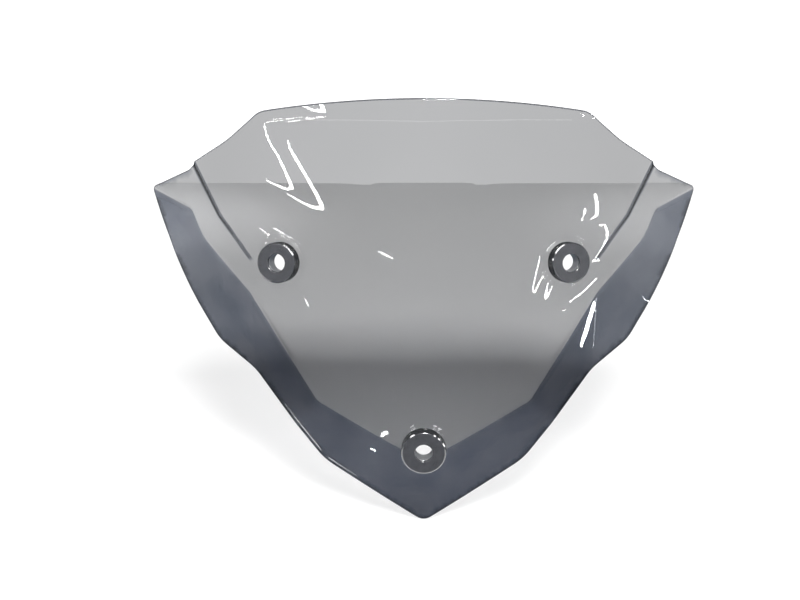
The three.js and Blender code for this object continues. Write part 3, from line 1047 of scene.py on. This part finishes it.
# Each strip lamp is given by the streak that it leaves on the front face: plan points along that
# streak, each with the width of the streak there, in mm.
STREAKS = {
    "left_outer": [(-86, 96, 0.4), (-85, 90, 0.8), (-83, 85, 0.9), (-78, 77, 1.0), (-73, 66, 1.4),
                   (-70.5, 60, 1.8), (-74, 59.5, 1.1), (-85, 64.5, 0.4)],
    "left_inner": [(-73, 85.5, 0.5), (-72, 81.5, 1.2), (-64.5, 69, 1.4), (-56.5, 55, 1.5), (-54, 49, 2.2),
                   (-59, 49.5, 1.1), (-64.5, 52, 0.8), (-73.5, 57, 0.4)],
    "left_above": [(-88.5, 39, 0.3), (-84, 35.5, 0.6), (-76.5, 32, 0.3)],
    "left_above_inner": [(-81, 39, 0.3), (-74.5, 35.5, 0.5), (-67.5, 31, 0.3)],
    "left_below": [(-64, 1, 0.3), (-62, -3, 0.5)],
    "middle": [(-24.5, 26, 0.3), (-20, 24, 0.8), (-16.5, 22, 0.3)],
    "right_small": [(87, 49.5, 0.9), (86.5, 46.5, 0.7), (85, 42.5, 0.3)],
    "right_upper": [(92.5, 57.5, 1.3), (94, 50, 2.0), (93.5, 46, 1.3), (90, 43.5, 0.5)],
    "right_hook": [(95, 40.5, 0.5), (98, 41, 0.9), (99.5, 38.5, 1.2), (99.5, 33.5, 1.1), (97.5, 29.5, 0.7),
                   (92, 21, 0.7), (89.5, 20.5, 0.7)],
    "right_loop": [(62.5, 24, 0.3), (58.5, 6.5, 0.5), (59.5, 4, 0.9), (64, 13, 0.5), (68, 24, 0.3)],
    "right_loop_inner": [(67, 17, 0.3), (67, 11, 0.5), (65.5, 0.5, 0.9), (69.5, 7.5, 0.5), (73, 9, 0.3)],
    "right_thin": [(94, 12, 0.3), (87, 5, 0.6), (79, -1, 0.5)],
    "right_below": [(74.5, -6, 0.3), (77, -5, 0.5)],
    "low_blob": [(-24, -73.5, 1.4), (-19.5, -72, 1.7)],
    "low_spot": [(-29.5, -81.5, 0.6), (-26.5, -83, 0.8)],
    "flank": [(93.2, -1, 1.6), (91.5, -8, 2.1), (89, -17, 2.2), (86.5, -25.5, 1.4)],
}

# Thin lines just inside the rim, left by lamps so close that nothing else reflects them.
NEAR_STREAKS = {
    "left_rim": [(-77.4, -57.9, 0.12), (-69.1, -69.2, 0.25), (-57.9, -84.5, 0.3)],
    "left_rim_low": [(-53.9, -89, 0.3), (-46.6, -93.9, 0.25), (-38.1, -99.5, 0.12)],
}

# Small reflectors close to the bosses catch light in their rounded edges: the boss, the angles
# round it from and to and the tilts of the edge between which the light shows, all in degrees,
# and the kind of light.
EDGE_LIGHTS = [
    ("lower", 165, 372, 5, 70, "soft"),
    ("lower", 114, 126, 15, 80, "bright"),
    ("lower", 57, 63, 10, 75, "bright"),
    ("lower", 42, 49, 10, 60, "bright"),
    ("lower", 20, 30, 20, 85, "bright"),
    ("left", 118, 123, 10, 75, "bright"),
    ("left", 126, 131, 10, 75, "bright"),
    ("left", 134, 138, 10, 75, "bright"),
    ("left", 146, 158, 15, 85, "bright"),
    ("left", 288, 330, 5, 40, "soft"),
    ("right", 115, 152, 12, 70, "bright"),
    ("right", 168, 173, 15, 80, "bright"),
    ("right", 265, 315, 5, 40, "soft"),
]


def studio_floor():
    m = Nodes("studio_floor")
    wear = m.noise(3, 4)
    m.set(
        Base_Color=m.mix(m.spread(wear, 0, 1), (0.86, 0.86, 0.86), (0.89, 0.89, 0.885)),
        Roughness=0.9,
        Specular_IOR_Level=0.0,
    )
    glow = m.add("ShaderNodeEmission", Color=(1, 1, 1, 1), Strength=FLOOR_GLOW).outputs["Emission"]
    wash = m.add("ShaderNodeMath", operation="MULTIPLY")
    m.join(m.light_path("Is Camera Ray"), wash.inputs[0])
    m.feed(wash.inputs[1], FLOOR_WASH)
    surface = m.choose(wash.outputs["Value"], m.shader.outputs["BSDF"], glow)
    m.join(surface, m.output.inputs["Surface"])
    return m.material


def floor():
    z = cad_low[2]
    mesh = bpy.data.meshes.new("studio_floor")
    corners = [(-FLOOR_HALF, FLOOR_FRONT, z), (FLOOR_HALF, FLOOR_FRONT, z),
               (FLOOR_HALF, FLOOR_BACK, z), (-FLOOR_HALF, FLOOR_BACK, z)]
    mesh.from_pydata(corners, [], [(0, 1, 2, 3)])
    mesh.materials.append(studio_floor())
    plane = bpy.data.objects.new("studio_floor", mesh)
    bpy.context.scene.collection.objects.link(plane)
    plane.visible_glossy = False


class Sky(Tree):
    """The world round the scene, by the direction in which it is seen."""

    def __init__(self, name):
        self.world = bpy.data.worlds.new(name)
        super().__init__(self.world)
        direction = self.add("ShaderNodeSeparateXYZ")
        self.join(self.add("ShaderNodeTexCoord").outputs["Generated"], direction.inputs["Vector"])
        self.x, self.y, self.z = direction.outputs

    def ramp(self, value, band):
        return self.spread(value, 0, 1, *band, interpolation_type="SMOOTHSTEP")

    def light(self, colour, strength):
        node = self.add("ShaderNodeBackground", Strength=strength)
        self.feed(node.inputs["Color"], colour)
        return node.outputs["Background"]


def world():
    """White behind the screen, dim for what lights it, and a room with walls in its gloss."""
    sky = Sky("studio")
    sideways = sky.add("ShaderNodeMath", operation="ABSOLUTE")
    sky.join(sky.x, sideways.inputs[0])
    room = sky.mix(sky.ramp(sky.z, HIGH_BAND), ROOM_FRONT, ROOM_HIGH)
    room = sky.mix(sky.ramp(sky.z, LOW_BAND), ROOM_LOW, room)
    room = sky.mix(sky.ramp(sideways.outputs["Value"], SIDE_BAND), room, ROOM_SIDE)
    through = sky.mix(sky.ramp(sky.y, THROUGH_BAND), THROUGH_FRONT, THROUGH_BACK)
    in_sheet = sky.ramp(sky.light_path("Transmission Depth"), (0, 1))
    gloss = sky.light(sky.mix(in_sheet, room, through), 1)
    seen = sky.choose(sky.light_path("Glossy Depth"), sky.light((1, 1, 1), BACKDROP), gloss)
    lit = sky.choose(sky.light_path("Diffuse Depth"), seen, sky.light(FILL_COLOUR, FILL))
    sky.join(lit, sky.add("ShaderNodeOutputWorld").inputs["Surface"])
    bpy.context.scene.world = sky.world


def mirrored(p, n, distance):
    """The place that the camera sees reflected at point p, with normal n, at a distance from it."""
    p = to_world(p)
    n = turned_up(n)
    v = unit(np.array(CAMERA_PLACE) - p)
    return p + distance * (2 * n.dot(v) * n - v)


def sweep(x, y):
    """The height of the front face without its lip, steps and pads."""
    return dome(x, y) + smooth_min(0 * x, flange_height(x, y), FOLD_ROUND)


def with_lip(x, y):
    """The height of the front face at its lip."""
    return dome(x, y) + lip_rise(x, y)


def in_front_face(x, y, height=sweep, distance=LAMP_DISTANCE):
    """What the camera sees reflected at a plan point of the front face."""
    place = np.array((abs(x), y), float)
    n = normals_of(height, *place) * (math.copysign(1, x), 1, 1)
    return mirrored(np.array((x, y, height(*place))), n, distance)


def in_boss_edge(where, turn, tilt):
    """What the camera sees reflected in the rounded edge of a boss."""
    f, mirror = FIXINGS[where]
    turn = math.radians(turn)
    tilt = math.radians(tilt)
    radius = BOSS_RADII[where] - BOSS_FILLET * (1 - math.sin(tilt))
    height = BOSS_HEIGHT - BOSS_FILLET * (1 - math.cos(tilt))
    radial = math.cos(turn) * f.across + math.sin(turn) * f.up
    n = (math.cos(tilt) * f.axis + math.sin(tilt) * radial) * (mirror, 1, 1)
    return mirrored(f.place(mirror, radius, turn, height), n, NEAR_LAMP_DISTANCE)


def ribbon(name, pairs, material):
    """A bent strip lamp, seen only in gloss."""
    points = [p for pair in pairs for p in pair]
    faces = [(i, i + 1, i + 3, i + 2) for i in range(0, len(points) - 2, 2)]
    mesh = bpy.data.meshes.new(name)
    mesh.from_pydata([tuple(p) for p in points], [], faces)
    mesh.materials.append(material)
    ob = bpy.data.objects.new(name, mesh)
    bpy.context.scene.collection.objects.link(ob)
    for ray in ("camera", "diffuse", "transmission", "volume_scatter", "shadow"):
        setattr(ob, "visible_" + ray, False)


def strip_lamp(name, streak, material, distance=LAMP_DISTANCE):
    """The lamp that leaves a given streak on the front face."""
    rows = spread(list(np.array(streak, float)), STREAK_STEP)
    along = np.gradient(np.array(rows)[:, :2], axis=0)
    pairs = []
    for (x, y, width), direction in zip(rows, along):
        across = width / 2 * unit(np.array((-direction[1], direction[0])))
        pairs.append((in_front_face(x - across[0], y - across[1], distance=distance),
                      in_front_face(x + across[0], y + across[1], distance=distance)))
    ribbon(name, pairs, material)


def lip_lamp(material):
    """The lamp that leaves a thin line along the crease of the lip."""
    pairs = []
    for x in np.linspace(-LIP_LIGHT_REACH, LIP_LIGHT_REACH, LIP_LIGHT_STEPS):
        y = lip_line(abs(x))
        pairs.append([in_front_face(x, y + side * LIP_LIGHT_HALF, with_lip, NEAR_LAMP_DISTANCE)
                      for side in (-1, 1)])
    ribbon("lamp_lip", pairs, material)


def edge_light(name, where, start, end, inner, outer, material):
    """The reflector that lights one stretch of a boss's rounded edge."""
    count = max(1, round((end - start) / EDGE_LIGHT_STEP))
    turns = [start + (end - start) * i / count for i in range(count + 1)]
    pairs = [(in_boss_edge(where, a, inner), in_boss_edge(where, a, outer)) for a in turns]
    ribbon(name, pairs, material)


def glowing(name, strength):
    material = bpy.data.materials.new(name)
    nodes = Tree(material)
    glow = nodes.add("ShaderNodeEmission", Strength=strength).outputs["Emission"]
    nodes.join(glow, nodes.add("ShaderNodeOutputMaterial").inputs["Surface"])
    return material


def reflections():
    """All lamps that show only as reflections in the front face and the bosses."""
    strip = glowing("strip_lamp", STRIP_GLOW)
    bright = glowing("reflector", BRIGHT_GLOW)
    soft = glowing("soft_reflector", SOFT_GLOW)
    for name, streak in STREAKS.items():
        strip_lamp("lamp_" + name, streak, strip)
    for name, streak in NEAR_STREAKS.items():
        strip_lamp("lamp_" + name, streak, bright, RIM_LAMP_DISTANCE)
    lip_lamp(soft)
    for i, (where, start, end, inner, outer, kind) in enumerate(EDGE_LIGHTS):
        material = soft if kind == "soft" else bright
        edge_light(f"reflector_{i}", where, start, end, inner, outer, material)


def floor_lights():
    """Spots that brighten the floor behind the two wings."""
    for side, power in FLOOR_LIGHTS:
        light = bpy.data.lights.new(f"floor_light_{side}", "SPOT")
        light.energy = power
        light.spot_size = FLOOR_LIGHT_ANGLE
        light.spot_blend = 1
        light.shadow_soft_size = FLOOR_LIGHT_RADIUS
        spot = bpy.data.objects.new(light.name, light)
        spot.location = Vector(FLOOR_LIGHT_PLACE) * Vector((side, 1, 1))
        spot.visible_glossy = False
        bpy.context.scene.collection.objects.link(spot)


def key_lamp():
    light = bpy.data.lights.new("key", "AREA")
    light.shape = "SQUARE"
    light.size = KEY_SIZE
    light.energy = KEY_POWER
    key = bpy.data.objects.new("key", light)
    key.location = KEY_PLACE
    key.rotation_euler = (KEY_TARGET - KEY_PLACE).to_track_quat("-Z", "Y").to_euler()
    key.visible_camera = False
    key.visible_transmission = False
    bpy.context.scene.collection.objects.link(key)


def camera():
    data = bpy.data.cameras.new("camera")
    data.sensor_width = 36
    data.lens = CAMERA_LENS
    data.shift_x = CAMERA_SHIFT
    ob = bpy.data.objects.new("camera", data)
    ob.location = CAMERA_PLACE
    ob.rotation_euler = (math.pi / 2 - RAKE, 0, 0)
    bpy.context.scene.collection.objects.link(ob)
    bpy.context.scene.camera = ob


sheet_piece(smoked_screen())
fixing_pieces()
floor()
world()
floor_lights()
key_lamp()
reflections()
camera()
bpy.context.scene.view_settings.view_transform = "Standard"
